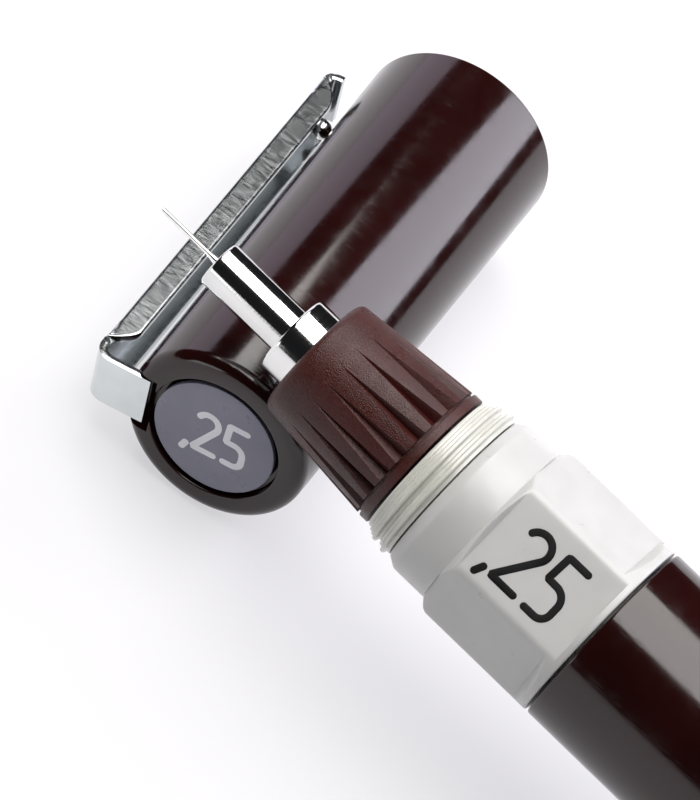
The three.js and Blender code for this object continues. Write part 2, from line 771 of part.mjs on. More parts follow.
function capGroup() {
  const rolled = new THREE.Group();
  rolled.rotation.z = CLIP_ROLL;
  rolled.add(
    capShell(), capLiner(), sealCup(), sealSpring(), capDisc(),
    clipHead(), clipArm(), clipBall(),
  );
  const tilted = new THREE.Group();
  tilted.rotation.x = CAP_TILT - Math.PI / 2;
  tilted.add(rolled);
  const cap = new THREE.Group();
  cap.rotation.z = CAP_YAW;
  cap.position.set(CAP_CROSSING, -CAP_OVERHANG, CAP_END_RADIUS * Math.cos(CAP_TILT));
  cap.add(tilted);
  return cap;
}

// The pen on its cap, moved so that the origin is under the middle of the two.
function technicalPen() {
  const whole = new THREE.Group();
  whole.add(penGroup(), capGroup());
  const box = new THREE.Box3().setFromObject(whole, true);
  const middle = box.getCenter(new THREE.Vector3());
  whole.position.set(-middle.x, -middle.y, -box.min.z);
  const placed = new THREE.Group();
  placed.add(whole);
  return placed;
}

export default technicalPen();
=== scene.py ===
import json
import math

import bmesh
import bpy
import numpy as np
from mathutils import Matrix, Vector


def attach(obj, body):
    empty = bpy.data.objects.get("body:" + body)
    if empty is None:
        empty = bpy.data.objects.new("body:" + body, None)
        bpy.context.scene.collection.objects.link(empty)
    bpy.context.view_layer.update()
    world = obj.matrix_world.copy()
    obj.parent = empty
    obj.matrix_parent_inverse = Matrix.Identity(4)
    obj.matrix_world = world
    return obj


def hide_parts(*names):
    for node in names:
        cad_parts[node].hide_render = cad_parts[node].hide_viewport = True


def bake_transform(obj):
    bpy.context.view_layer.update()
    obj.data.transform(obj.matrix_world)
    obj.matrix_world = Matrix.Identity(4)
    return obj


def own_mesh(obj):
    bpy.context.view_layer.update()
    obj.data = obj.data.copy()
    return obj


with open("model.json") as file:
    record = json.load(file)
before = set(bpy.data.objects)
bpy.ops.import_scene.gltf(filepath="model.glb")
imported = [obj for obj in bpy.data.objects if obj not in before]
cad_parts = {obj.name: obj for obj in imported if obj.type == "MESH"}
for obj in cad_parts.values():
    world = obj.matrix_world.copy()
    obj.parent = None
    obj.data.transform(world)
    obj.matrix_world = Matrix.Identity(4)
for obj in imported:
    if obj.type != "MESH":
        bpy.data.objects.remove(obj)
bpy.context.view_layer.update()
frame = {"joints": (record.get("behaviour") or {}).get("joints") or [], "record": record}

# ---------------------------------------------------------------------------------------------
# The pen and its cap lying on the desk. Each keeps axes of its own, so that every piece is drawn
# in millimetres along the pen from the tip, or along the cap from its closed end.
# ---------------------------------------------------------------------------------------------
MM = 0.001
joints = {joint["name"]: joint for joint in frame["joints"]}
mounts = {mount["name"]: mount for mount in frame["record"]["mounts"]}


def unit(vector):
    """The vector divided by its length."""
    return np.asarray(vector, float) / np.linalg.norm(vector)


class Axes:
    """An origin and three unit vectors: z along the part, x towards its marked side."""

    def __init__(self, origin, along, across):
        self.origin = np.asarray(origin, float)
        self.z = unit(along)
        self.x = unit(across - np.dot(across, self.z) * self.z)
        self.y = np.cross(self.z, self.x)

    def place(self, points):
        """Origin plus x, y and z steps in millimetres, for an array of points."""
        points = np.asarray(points, float) * MM
        turned = points[..., 0:1] * self.x + points[..., 1:2] * self.y + points[..., 2:3] * self.z
        return self.origin + turned


pen = Axes(
    joints["nib_turn"]["pos_m"],
    np.array(joints["barrel_turn"]["axis"]),
    np.array(mounts["collar_flat"]["axis"]),
)
cap_along = -np.array(mounts["cap_end"]["axis"])
disc_face = 0.05
cap_origin = np.array(mounts["cap_end"]["pos_m"]) - disc_face * MM * unit(cap_along)
cap = Axes(cap_origin, cap_along, np.array(joints["clip_flex"]["pos_m"]) - cap_origin)

# ---------------------------------------------------------------------------------------------
# The desk, the lamps and the camera. A pale matt desk under a wide soft lamp overhead, a second at
# the back right and two low ones, with the room dark otherwise, so that gloss shows clear bands.
# ---------------------------------------------------------------------------------------------
scene = bpy.context.scene
scene.view_settings.view_transform = "Standard"

aim_station = 14.30
aim_side = -0.527
camera_azimuth = math.radians(-12.41)
camera_elevation = math.radians(47.20)
camera_roll = math.radians(31.65)
camera_distance = 0.455
scale_at_aim = 18.86 * 1000
picture_height = 800

aim = pen.place([0, 0, aim_station]) + np.array([0, aim_side * MM, 0])
looking = np.array([
    math.sin(camera_azimuth) * math.cos(camera_elevation),
    math.cos(camera_azimuth) * math.cos(camera_elevation),
    -math.sin(camera_elevation),
])
level = np.array([math.cos(camera_azimuth), -math.sin(camera_azimuth), 0.0])
upright = np.cross(level, looking)
right = math.cos(camera_roll) * level + math.sin(camera_roll) * upright
up = np.cross(right, looking)

camera_data = bpy.data.cameras.new("camera")
camera_data.sensor_width = 36.0
camera_data.lens = 36.0 * scale_at_aim * camera_distance / picture_height
camera_data.clip_start = 0.01
camera = bpy.data.objects.new("camera", camera_data)
scene.collection.objects.link(camera)
turn = np.column_stack([right, up, -looking])
matrix = np.eye(4)
matrix[:3, :3] = turn
matrix[:3, 3] = aim - looking * camera_distance
camera.matrix_world = Matrix(matrix.tolist())
scene.camera = camera


def nodes_of(material):
    """A material's node tree emptied but for its output and one Principled shader."""
    material.use_nodes = True
    tree = material.node_tree
    tree.nodes.clear()
    shader = tree.nodes.new("ShaderNodeBsdfPrincipled")
    output = tree.nodes.new("ShaderNodeOutputMaterial")
    tree.links.new(shader.outputs[0], output.inputs["Surface"])
    return tree, shader


def soft_lamp(name, from_nib, size, glow, tint):
    """A rectangular lamp that faces the nib. Its power is the glow (what a mirror would show of
    it) times pi times its area."""
    lamp = bpy.data.lights.new(name, "AREA")
    lamp.shape = "RECTANGLE"
    lamp.size, lamp.size_y = size
    lamp.energy = glow * math.pi * size[0] * size[1]
    lamp.color = tint
    holder = bpy.data.objects.new(name, lamp)
    scene.collection.objects.link(holder)
    holder.location = Vector(pen.place([0, 0, 20])) + Vector(from_nib)
    holder.rotation_euler = (-Vector(from_nib)).to_track_quat("-Z", "Y").to_euler()
    return holder


soft_lamp("lamp_overhead", (-0.10, 0.053, 0.50), (0.44, 0.64), 6.2, (1.0, 0.98, 0.96))
soft_lamp("lamp_back_right", (0.27, 0.40, 0.33), (0.42, 0.50), 5.6, (0.93, 0.90, 1.0))
soft_lamp("lamp_low_front", (-0.35, -0.72, 0.06), (0.40, 0.15), 2.5, (1.0, 1.0, 1.0))
soft_lamp("lamp_low_left", (-0.46, 0.40, 0.12), (0.40, 0.26), 1.4, (0.95, 0.85, 1.0))

world = bpy.data.worlds.new("room")
world.use_nodes = True
world.node_tree.nodes["Background"].inputs["Color"].default_value = (0.9, 0.92, 1.0, 1)
world.node_tree.nodes["Background"].inputs["Strength"].default_value = 0.012
scene.world = world

desk_size = 3.0
desk_mesh = bpy.data.meshes.new("desk")
desk_corners = np.array([[-1, -1, 0], [1, -1, 0], [1, 1, 0], [-1, 1, 0]]) * desk_size / 2
desk_mesh.from_pydata(desk_corners.tolist(), [], [(0, 1, 2, 3)])
desk = bpy.data.objects.new("desk", desk_mesh)
scene.collection.objects.link(desk)
desk_paint = bpy.data.materials.new("pale_desk")
desk_shader = nodes_of(desk_paint)[1]
desk_shader.inputs["Base Color"].default_value = (0.24, 0.24, 0.245, 1)
desk_shader.inputs["Roughness"].default_value = 0.9
desk_shader.inputs["Emission Color"].default_value = (0.98, 0.97, 1.0, 1)
desk_shader.inputs["Emission Strength"].default_value = 0.60
desk_mesh.materials.append(desk_paint)

# ---------------------------------------------------------------------------------------------
# The barrel: one long injection-moulded tube of dark maroon plastic, polished in the mould, with
# a slight taper to the rear and a groove inside its mouth. It screws over the sleeve.
# ---------------------------------------------------------------------------------------------
body_radius = 5.75
rear_radius = 4.9
barrel_front = 32.5
barrel_rear = 130.0
wall = 1.0


def rounded(corners, closed=False, steps=5):
    """A path through corners (x, y, fillet). Each fillet is an arc that starts and ends where a
    circle of that radius touches the two sides: their distance from the corner is the radius
    divided by the tangent of half the corner's angle."""
    path = []
    count = len(corners)
    for i, (x, y, size) in enumerate(corners):
        corner = np.array([x, y], float)
        inside = closed or 0 < i < count - 1
        if size == 0 or not inside:
            path.append(corner)
            continue
        before = unit(np.array(corners[i - 1][:2]) - corner)
        after = unit(np.array(corners[(i + 1) % count][:2]) - corner)
        half = 0.5 * math.acos(float(np.clip(before @ after, -1, 1)))
        reach = size / math.tan(half)
        start, end = corner + before * reach, corner + after * reach
        middle = corner + unit(before + after) * size / math.sin(half)
        swing = math.pi - 2 * half
        for share in np.linspace(0, 1, steps + 1):
            weight = np.array([math.sin((1 - share) * swing), math.sin(share * swing)])
            path.append(middle + ((start - middle) * weight[0] + (end - middle) * weight[1])
                        / math.sin(swing))
    return np.array(path)


def grid_mesh(name, points, wrap_rows=False, wrap_columns=True, uv=None):
    """A mesh over a grid of points (rows, columns, 3), in metres. Neighbouring points make the
    faces, and a grid that wraps joins its last row or column to its first. Points that fall
    together, as at a pole, are merged, and edges sharper than 35 degrees stay sharp."""
    rows, columns = points.shape[:2]
    r = np.arange(rows if wrap_rows else rows - 1)
    c = np.arange(columns if wrap_columns else columns - 1)
    r, c = [a.ravel() for a in np.meshgrid(r, c, indexing="ij")]
    r2, c2 = (r + 1) % rows, (c + 1) % columns
    faces = np.column_stack([r * columns + c, r * columns + c2, r2 * columns + c2, r2 * columns + c])
    mesh = bpy.data.meshes.new(name)
    mesh.from_pydata(points.reshape(-1, 3).tolist(), [], faces.tolist())
    if uv is not None:
        across, along = uv
        edge = np.where(c + 1 < len(across), c + 1, len(across) - 1)
        u = np.column_stack([across[c], across[edge], across[edge], across[c]])
        v = np.column_stack([along[r], along[r], along[r2], along[r2]])
        layer = mesh.uv_layers.new(name="surface")
        layer.data.foreach_set("uv", np.dstack([u, v]).ravel().astype(np.float32))
    return tidied(mesh)


sharp_edge = math.radians(35)


def tidied(mesh):
    """The mesh with coincident points merged, faces turned outwards and smooth shading."""
    shape = bmesh.new()
    shape.from_mesh(mesh)
    bmesh.ops.remove_doubles(shape, verts=shape.verts, dist=2e-7)
    bmesh.ops.dissolve_degenerate(shape, edges=shape.edges, dist=1e-8)
    bmesh.ops.recalc_face_normals(shape, faces=shape.faces)
    for face in shape.faces:
        face.smooth = True
    shape.to_mesh(mesh)
    shape.free()
    mesh.set_sharp_from_angle(angle=sharp_edge)
    return mesh


def turned_mesh(name, axes, path, closed=False, columns=192):
    """A surface of revolution: radius r(u) and station z(u) along the path, and angle v, give
    the point (r cos v, r sin v, z)."""
    angle = np.linspace(0, 2 * np.pi, columns, endpoint=False)
    radius, station = path[:, 0:1], path[:, 1:2]
    points = np.dstack([
        radius * np.cos(angle), radius * np.sin(angle), station + 0 * angle,
    ])
    along = np.concatenate([[0], np.cumsum(np.linalg.norm(np.diff(path, axis=0), axis=1))])
    uv = (np.linspace(0, 1, columns + 1), along)
    return grid_mesh(name, axes.place(points), wrap_rows=closed, uv=uv)


def piece(name, mesh, material, body, slot, *nodes):
    """An object for the mesh, with its finish, riding on a body in place of CAD nodes."""
    mesh.materials.clear()
    mesh.materials.append(material)
    made = bpy.data.objects.new(name, mesh)
    scene.collection.objects.link(made)
    if nodes:
        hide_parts(*nodes)
    if body:
        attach(made, body)
    return made


def noise(tree, scale, detail=3.0, stretch=(1, 1, 1), source="Object"):
    """Cloudy noise in the piece's own coordinates; scale is in cells per metre on Object."""
    coordinates = tree.nodes.new("ShaderNodeTexCoord")
    mapping = tree.nodes.new("ShaderNodeMapping")
    mapping.inputs["Scale"].default_value = stretch
    texture = tree.nodes.new("ShaderNodeTexNoise")
    texture.inputs["Scale"].default_value = scale
    texture.inputs["Detail"].default_value = detail
    tree.links.new(coordinates.outputs[source], mapping.inputs["Vector"])
    tree.links.new(mapping.outputs["Vector"], texture.inputs["Vector"])
    return texture.outputs["Fac"]


def spread(tree, value, low, high, start=0.3, end=0.7):
    """The value between start and end, spread over low to high."""
    node = tree.nodes.new("ShaderNodeMapRange")
    for name, number in (("From Min", start), ("From Max", end), ("To Min", low), ("To Max", high)):
        node.inputs[name].default_value = number
    tree.links.new(value, node.inputs["Value"])
    return node.outputs["Result"]


def shades(tree, value, first, second):
    """A colour between two shades, by a value from 0 to 1."""
    node = tree.nodes.new("ShaderNodeMix")
    node.data_type = "RGBA"
    node.inputs["A"].default_value = (*first, 1)
    node.inputs["B"].default_value = (*second, 1)
    tree.links.new(value, node.inputs["Factor"])
    return node.outputs["Result"]


def relief(tree, shader, value, depth_mm, strength):
    """A bump of that depth in millimetres, on top of any bump the shader already has."""
    bump = tree.nodes.new("ShaderNodeBump")
    bump.inputs["Distance"].default_value = depth_mm * MM
    bump.inputs["Strength"].default_value = strength
    tree.links.new(value, bump.inputs["Height"])
    for link in tree.links:
        if link.to_socket == shader.inputs["Normal"]:
            tree.links.new(link.from_socket, bump.inputs["Normal"])
    tree.links.new(bump.outputs["Normal"], shader.inputs["Normal"])


def moulded(name, first, second, roughness, grain_mm, grain_strength, gloss=0.5, pit_mm=0.02):
    """Moulded plastic: the colour drifts between two shades over a few millimetres, the
    roughness drifts a little faster, handling leaves fine scratches, and the mould's grain is
    a shallow bump."""
    material = bpy.data.materials.new(name)
    tree, shader = nodes_of(material)
    drift_cells, haze_cells, scratch_cells = 260, 900, (260, 9000, 9000)
    drift = spread(tree, noise(tree, drift_cells, 4), 0, 1)
    tree.links.new(shades(tree, drift, first, second), shader.inputs["Base Color"])
    haze = noise(tree, haze_cells, 5)
    tree.links.new(spread(tree, haze, roughness * 0.75, roughness * 1.35), shader.inputs["Roughness"])
    shader.inputs["Specular IOR Level"].default_value = gloss
    relief(tree, shader, noise(tree, 1000 / grain_mm, 2), pit_mm, grain_strength)
    scratch = noise(tree, 1.0, 2, stretch=scratch_cells)
    scratch_mm = 0.004
    relief(tree, shader, spread(tree, scratch, 0, 1, 0.62, 0.7), scratch_mm, 0.25)
    return material


maroon_gloss = moulded(
    "maroon_gloss", (0.0095, 0.0016, 0.0015), (0.0130, 0.0022, 0.0021), 0.12, 0.35, 0.02, gloss=0.5,
)
barrel_path = rounded([
    (body_radius - wall, barrel_front, 0.08),
    (body_radius, barrel_front, 0.14),
    (body_radius, 66.0, 0),
    (rear_radius, barrel_rear - 0.4, 0.9),
    (rear_radius - wall, barrel_rear, 0.12),
    (rear_radius - wall, 124.0, 0),
    (body_radius - wall, 66.0, 0),
    (body_radius - wall, 34.1, 0),
    (5.2, 34.1, 0),
    (5.2, 32.85, 0),
    (body_radius - wall, 32.85, 0),
], closed=True)
piece("barrel_tube", turned_mesh("barrel_tube", pen, barrel_path, closed=True),
      maroon_gloss, "barrel", "maroon", "barrel")

# ---------------------------------------------------------------------------------------------
# The plug in the rear of the barrel: a turned plastic disc with a shallow dish, pressed in flush
# so that the barrel can be washed through when it is taken out.
# ---------------------------------------------------------------------------------------------
plug_radius = rear_radius - wall - 0.2
plug_path = rounded([
    (0, 123.6, 0), (plug_radius, 123.6, 0.4), (plug_radius, barrel_rear - 0.3, 0.25),
    (2.6, barrel_rear - 0.3, 0.15), (2.4, barrel_rear - 0.75, 0.2), (0, barrel_rear - 0.75, 0),
])
piece("rear_plug", turned_mesh("rear_plug", pen, plug_path, columns=128),
      maroon_gloss, "barrel", "maroon", "end_plug")

# ---------------------------------------------------------------------------------------------
# The size collar: white plastic, a round neck that fits the cap's mouth, then six flats that
# keep the pen from rolling. Alternate flats have their sloped wall at the front or at the rear.
# ---------------------------------------------------------------------------------------------
neck_radius = 5.205
flat_height = 5.05
edge_sharpness = 140
collar_bore = 4.15
front_wall_slope = 1.0
rear_wall_slope = 1.3


def flat_limit(station, index):
    """How far flat number index lets the surface stand from the axis at a station: the flat's
    own height between its walls, and that height plus the wall's slope times the distance
    beyond a sloped wall's foot."""
    open_side = np.full_like(station, 99.0)
    if index % 2 == 0:
        limit = flat_height + front_wall_slope * np.maximum(0, 24.85 - station)
        return np.where(station < 31.95, limit, open_side)
    limit = flat_height + rear_wall_slope * np.maximum(0, station - 31.4)
    return np.where(station > 24.36, limit, open_side)


def collar_points(columns=720):
    """The collar's outside: at each station and angle the radius is the smaller of the turned
    radius and every flat's height divided by the cosine of the angle from its middle. The
    smaller one is taken as a power mean, which rounds the edges between them a little."""
    outside = rounded([
        (collar_bore, 21.55, 0.1), (4.835, 21.55, 0.06), (neck_radius, 22.15, 0.5),
        (neck_radius, 24.36, 0.04), (5.62, 24.72, 0.3), (body_radius, 24.98, 0.3),
        (body_radius, 32.35, 0.12), (collar_bore, 32.35, 0.05),
    ], closed=True)
    breaks = np.concatenate([
        np.linspace(24.37, 25.0, 22), np.linspace(25.2, 31.3, 12), np.linspace(31.4, 31.94, 24),
        [31.96],
    ])
    start = np.argmax(outside[:, 1] > 24.99)
    end = np.argmax(outside[:, 1] > 32.2)
    belly = np.interp(breaks, outside[:end, 1], outside[:end, 0])
    keep_front = outside[:start][outside[:start, 1] <= 24.365]
    path = np.vstack([keep_front, np.column_stack([belly, breaks]), outside[end:]])
    angle = np.linspace(0, 2 * np.pi, columns, endpoint=False)
    radius = np.repeat(path[:, 0:1], columns, axis=1)
    station = np.repeat(path[:, 1:2], columns, axis=1)
    outer = radius > collar_bore + 0.2
    for index in range(6):
        away = np.cos(angle - index * np.pi / 3)
        reach = np.where(away > 0.5, flat_limit(station, index) / np.maximum(away, 0.5), 99.0)
        blend = (radius ** -edge_sharpness + reach ** -edge_sharpness) ** (-1 / edge_sharpness)
        radius = np.where(outer, blend, radius)
    return np.dstack([radius * np.cos(angle), radius * np.sin(angle), station])


white_plastic = moulded(
    "white_plastic", (0.42, 0.42, 0.412), (0.45, 0.45, 0.443), 0.36, 0.12, 0.04,
)
white_shader = white_plastic.node_tree.nodes["Principled BSDF"]
white_shader.inputs["Subsurface Weight"].default_value = 0.2
white_shader.inputs["Subsurface Radius"].default_value = (1.0, 0.95, 0.85)
white_shader.inputs["Subsurface Scale"].default_value = 0.0012
piece("marked_collar", grid_mesh("marked_collar", pen.place(collar_points()), wrap_rows=True),
      white_plastic, "section", "white", "size_collar")

# ---------------------------------------------------------------------------------------------
# The line width on the collar's upper flat: strokes of black ink printed on the plastic, each
# a flat ribbon with round ends.
# ---------------------------------------------------------------------------------------------
stroke_half = 0.215
ink_height = 0.012
figure_height = 3.5


def stroke_points(path, half_width, height, sides=16):
    """A flattened tube along a path in the plane: the section is an ellipse of half-width w and
    height h. The path is drawn out by w at both ends, where w and h shrink as the edge of a
    circle does, which rounds them."""
    first = path[0] - half_width * unit(path[1] - path[0])
    last = path[-1] + half_width * unit(path[-1] - path[-2])
    path = np.vstack([first, path, last])
    steps = np.linalg.norm(np.diff(path, axis=0), axis=1)
    along = np.concatenate([[0], np.cumsum(steps)])
    ends = half_width * (1 - np.cos(np.linspace(0, np.pi / 2, 7)))
    places = np.concatenate([
        ends, np.arange(half_width * 1.1, along[-1] - half_width * 1.1, 0.05),
        along[-1] - ends[::-1],
    ])
    centre = np.column_stack([np.interp(places, along, path[:, k]) for k in (0, 1)])
    ahead = np.column_stack([np.interp(places + 0.03, along, path[:, k]) for k in (0, 1)])
    behind = np.column_stack([np.interp(places - 0.03, along, path[:, k]) for k in (0, 1)])
    direction = (ahead - behind) / np.linalg.norm(ahead - behind, axis=1, keepdims=True)
    side = np.column_stack([-direction[:, 1], direction[:, 0]])
    near_end = np.minimum(places, along[-1] - places)
    inset = np.clip(1 - near_end / half_width, 0, 1)
    size = np.sqrt(np.maximum(0, 1 - inset ** 2))[:, None]
    angle = np.linspace(0, 2 * np.pi, sides, endpoint=False)
    across = size * half_width * np.cos(angle)
    flat = centre[:, None, :] + across[..., None] * side[:, None, :]
    return np.dstack([flat, size * height * np.sin(angle)])


def arc(centre, radius, first, last, steps=14):
    """Points on a circle from the first angle to the last, in degrees."""
    angle = np.radians(np.linspace(first, last, steps))
    return np.column_stack([centre[0] + radius * np.cos(angle), centre[1] + radius * np.sin(angle)])


def figures(height):
    """The strokes of the marking, as paths with their base line at 0 and their first point
    mark at the left: a slanted point, a two and a five."""
    bowl = 0.8
    two = np.vstack([
        arc((1.76, height - bowl), bowl, 152, -28),
        rounded([(2.46, height - 1.2, 0), (0.96, 0, 0.03), (2.59, 0, 0)])[1:],
    ])
    five = rounded([
        (4.71, height, 0), (3.39, height, 0.05), (3.30, 0.555 * height, 0.05),
        (4.71, 0.545 * height, 0.78), (4.71, 0, 0.62), (3.39, 0, 0),
    ], steps=12)
    point = np.array([[0.2, -0.44], [0.42, 0.04]])
    return [point, two, five]


def lettering(name, axes, strokes, half_width, place, material, body, slot):
    """One mesh of all strokes. place turns the flat points (x, y, height) into the part's axes."""
    parts = [stroke_points(stroke, half_width, ink_height) for stroke in strokes]
    shape = bmesh.new()
    for part in parts:
        mesh = grid_mesh(name + "_stroke", axes.place(place(part)), wrap_columns=True)
        shape.from_mesh(mesh)
        bpy.data.meshes.remove(mesh)
    mesh = bpy.data.meshes.new(name)
    shape.to_mesh(mesh)
    shape.free()
    return piece(name, mesh, material, body, slot)


def on_collar(points):
    """Reading along the pen with the tip at the left, standing on the flat at angle 0."""
    base_left = np.array([25.40, -1.862])
    station = base_left[0] + points[..., 0]
    across = base_left[1] + points[..., 1]
    return np.dstack([flat_height + points[..., 2], -across, station])


black_ink = moulded(
    "black_ink", (0.0015, 0.0015, 0.002), (0.003, 0.003, 0.0035), 0.45, 0.12, 0.1, gloss=0.25,
)
lettering("line_width_marking", pen, figures(figure_height), stroke_half, on_collar,
          black_ink, "section", "rubber")

# ---------------------------------------------------------------------------------------------
# The snap ring: natural, slightly green nylon, cloudy enough to glow. Its two annular ridges
# catch in the mouth of the cap. It sits on the sleeve in front of the collar.
# ---------------------------------------------------------------------------------------------
ring_path = rounded([
    (4.15, 19.55, 0.05), (4.40, 19.55, 0.04), (4.46, 19.66, 0.02), (4.46, 19.78, 0.02),
    (4.60, 19.84, 0.02), (4.60, 19.98, 0.02), (4.72, 20.03, 0.02), (4.74, 20.18, 0.02),
    (4.86, 20.24, 0.03), (4.86, 20.40, 0.04), (4.62, 20.50, 0.03), (4.62, 20.66, 0.03),
    (4.80, 20.74, 0.02), (4.82, 20.88, 0.02), (5.03, 20.98, 0.03), (5.03, 21.14, 0.04),
    (4.80, 21.25, 0.03), (4.80, 21.45, 0.03), (4.15, 21.45, 0.05),
], closed=True)
natural_nylon = moulded(
    "natural_nylon", (0.44, 0.44, 0.395), (0.50, 0.50, 0.46), 0.22, 0.2, 0.01, gloss=0.6,
)
nylon_shader = natural_nylon.node_tree.nodes["Principled BSDF"]
nylon_shader.inputs["Subsurface Weight"].default_value = 0.2
nylon_shader.inputs["Subsurface Radius"].default_value = (1.0, 0.95, 0.7)
nylon_shader.inputs["Subsurface Scale"].default_value = 0.0005
piece("ridged_ring", turned_mesh("ridged_ring", pen, ring_path, closed=True),
      natural_nylon, "section", "natural", "snap_ring")

# ---------------------------------------------------------------------------------------------
# The sleeve under the ring and the collar: a moulded tube with a coarse outside thread at its
# rear, which the barrel screws over. It holds the collar and the ring together.
# ---------------------------------------------------------------------------------------------
inner_plastic = moulded("inner_plastic", (0.46, 0.47, 0.44), (0.55, 0.56, 0.53), 0.4, 0.3, 0.1)


def threaded_points(path, first, last, pitch, depth, columns=96):
    """A surface of revolution whose radius, between two stations, drops by depth times a
    rounded wave of station over pitch less angle over a full turn: a right-handed thread."""
    angle = np.linspace(0, 2 * np.pi, columns, endpoint=False)
    radius = np.repeat(path[:, 0:1], columns, axis=1)
    station = np.repeat(path[:, 1:2], columns, axis=1)
    phase = station / pitch - angle / (2 * np.pi)
    ramp = np.clip((station - first) / pitch, 0, 1) * np.clip((last - station) / pitch, 0, 1)
    wave = 0.5 - 0.5 * np.cos(2 * np.pi * phase)
    radius = radius - depth * ramp * wave
    return np.dstack([radius * np.cos(angle), radius * np.sin(angle), station])


def threaded_path(before, radius, first, last, step, after):
    """The path before the thread, close stations along it at its radius, and the path after."""
    stations = np.arange(first, last, step)
    land = np.column_stack([np.full_like(stations, radius), stations])
    return np.vstack([before, land, after])


sleeve_bore = 3.3
sleeve_path = threaded_path(
    [(sleeve_bore, 20.1), (3.9, 20.1), (4.0, 20.2), (4.0, 34.2)], 4.5, 34.4, 40.8, 0.1,
    [(4.5, 40.9), (4.4, 41.0), (3.6, 41.0), (3.6, 27.4), (sleeve_bore, 27.0)],
)
sleeve_points = threaded_points(sleeve_path, 34.6, 40.8, 1.25, 0.3)
piece("section_tube", grid_mesh("section_tube", pen.place(sleeve_points), wrap_rows=True),
      inner_plastic, "section", "inner_plastic", "section_sleeve")

# ---------------------------------------------------------------------------------------------
# The nib cone: maroon plastic with a spark-eroded satin grain, domed at the front. Twenty
# flutes start as points behind the dome and open to the rear, where a groove and a flange follow.
# ---------------------------------------------------------------------------------------------
cone_front = 11.14
cone_shoulder = (3.775, 11.76)
cone_rear = (4.38, 18.68)
flute_count = 20
flute_start = 12.9
flute_depth = 0.47
flute_share = 0.64


def cone_points():
    """The cone's outside on a grid whose columns follow the flutes. With w the flute's half
    width and d its depth, both growing in proportion from its point, the radius at an angle a
    from the flute's middle is the cone's radius less d times (1 - a / w), and no less outside."""
    front = rounded([(2.48, 11.8, 0), (2.48, cone_front, 0.06), (3.72, cone_front, 0.5),
                     (*cone_shoulder, 0.3), (*cone_rear, 0)], steps=8)
    stations = np.concatenate([
        np.linspace(cone_shoulder[1] + 0.3, flute_start, 6),
        flute_start + (cone_rear[1] - flute_start) * np.linspace(0.01, 1, 40),
    ])
    slope = (cone_rear[0] - cone_shoulder[0]) / (cone_rear[1] - cone_shoulder[1])
    taper = cone_shoulder[0] + slope * (stations - cone_shoulder[1])
    rows = np.vstack([
        front[front[:, 1] < stations[0] - 0.01], np.column_stack([taper, stations]),
        [(4.12, cone_rear[1]), (4.12, 18.88), (4.40, 18.88), (4.425, 18.91),
         (4.425, 19.37), (4.40, 19.4), (2.2, 19.4), (2.2, 11.8)],
    ])
    fluted = (rows[:, 1] > flute_start) & (np.arange(len(rows)) < len(rows) - 8)
    growth = np.where(fluted, (rows[:, 1] - flute_start) / (cone_rear[1] - flute_start), 0)
    pitch = 2 * np.pi / flute_count
    half = np.maximum(growth, 0.03) * pitch * flute_share / 2
    in_flute = np.linspace(0, 1, 6)[:-1]
    on_land = np.linspace(0, 1, 4)[:-1]
    right_side = np.hstack([
        half[:, None] * in_flute, half[:, None] + (pitch / 2 - half)[:, None] * on_land,
    ])
    left_side = -np.hstack([np.full((len(rows), 1), pitch / 2), right_side[:, :0:-1]])
    offset = np.hstack([left_side, right_side])
    drop = (growth * flute_depth)[:, None] * np.clip(1 - np.abs(offset) / half[:, None], 0, 1)
    middles = pitch * (np.arange(flute_count) + 0.5)
    angle = (middles[None, :, None] + offset[:, None, :]).reshape(len(rows), -1)
    radius = rows[:, 0:1] - np.tile(drop, (1, flute_count))
    return np.dstack([radius * np.cos(angle), radius * np.sin(angle), rows[:, 1:2] + 0 * angle])


maroon_satin = moulded(
    "maroon_satin", (0.028, 0.0036, 0.0024), (0.044, 0.0060, 0.0040), 0.32, 0.07, 1.0, gloss=0.32,
    pit_mm=0.04,
)
piece("fluted_cone", grid_mesh("fluted_cone", pen.place(cone_points()), wrap_rows=True),
      maroon_satin, "nib", "nib_maroon", "nib_cone")

# ---------------------------------------------------------------------------------------------
# The point: a stepped shell turned from stainless steel and polished, pressed into the cone,
# and the fine steel tube that draws the line, drawn to size and pressed into the shell.
# ---------------------------------------------------------------------------------------------
def polished(name, shade, roughness, marking=0.12, source="UV", stretch=(3, 9, 1)):
    """Polished metal: faint turning marks run round it, as a bump and as a change of
    roughness, with light smudges from handling."""
    material = bpy.data.materials.new(name)
    tree, shader = nodes_of(material)
    smudge = spread(tree, noise(tree, 500, 3), 0, 1)
    darker = tuple(0.9 * part for part in shade)
    tree.links.new(shades(tree, smudge, darker, shade), shader.inputs["Base Color"])
    shader.inputs["Metallic"].default_value = 1.0
    marks = noise(tree, 1.0, 3, stretch=stretch, source=source)
    mark_mm = 0.0015
    tree.links.new(spread(tree, marks, roughness * 0.8, roughness * 1.3), shader.inputs["Roughness"])
    relief(tree, shader, marks, mark_mm, marking)
    return material


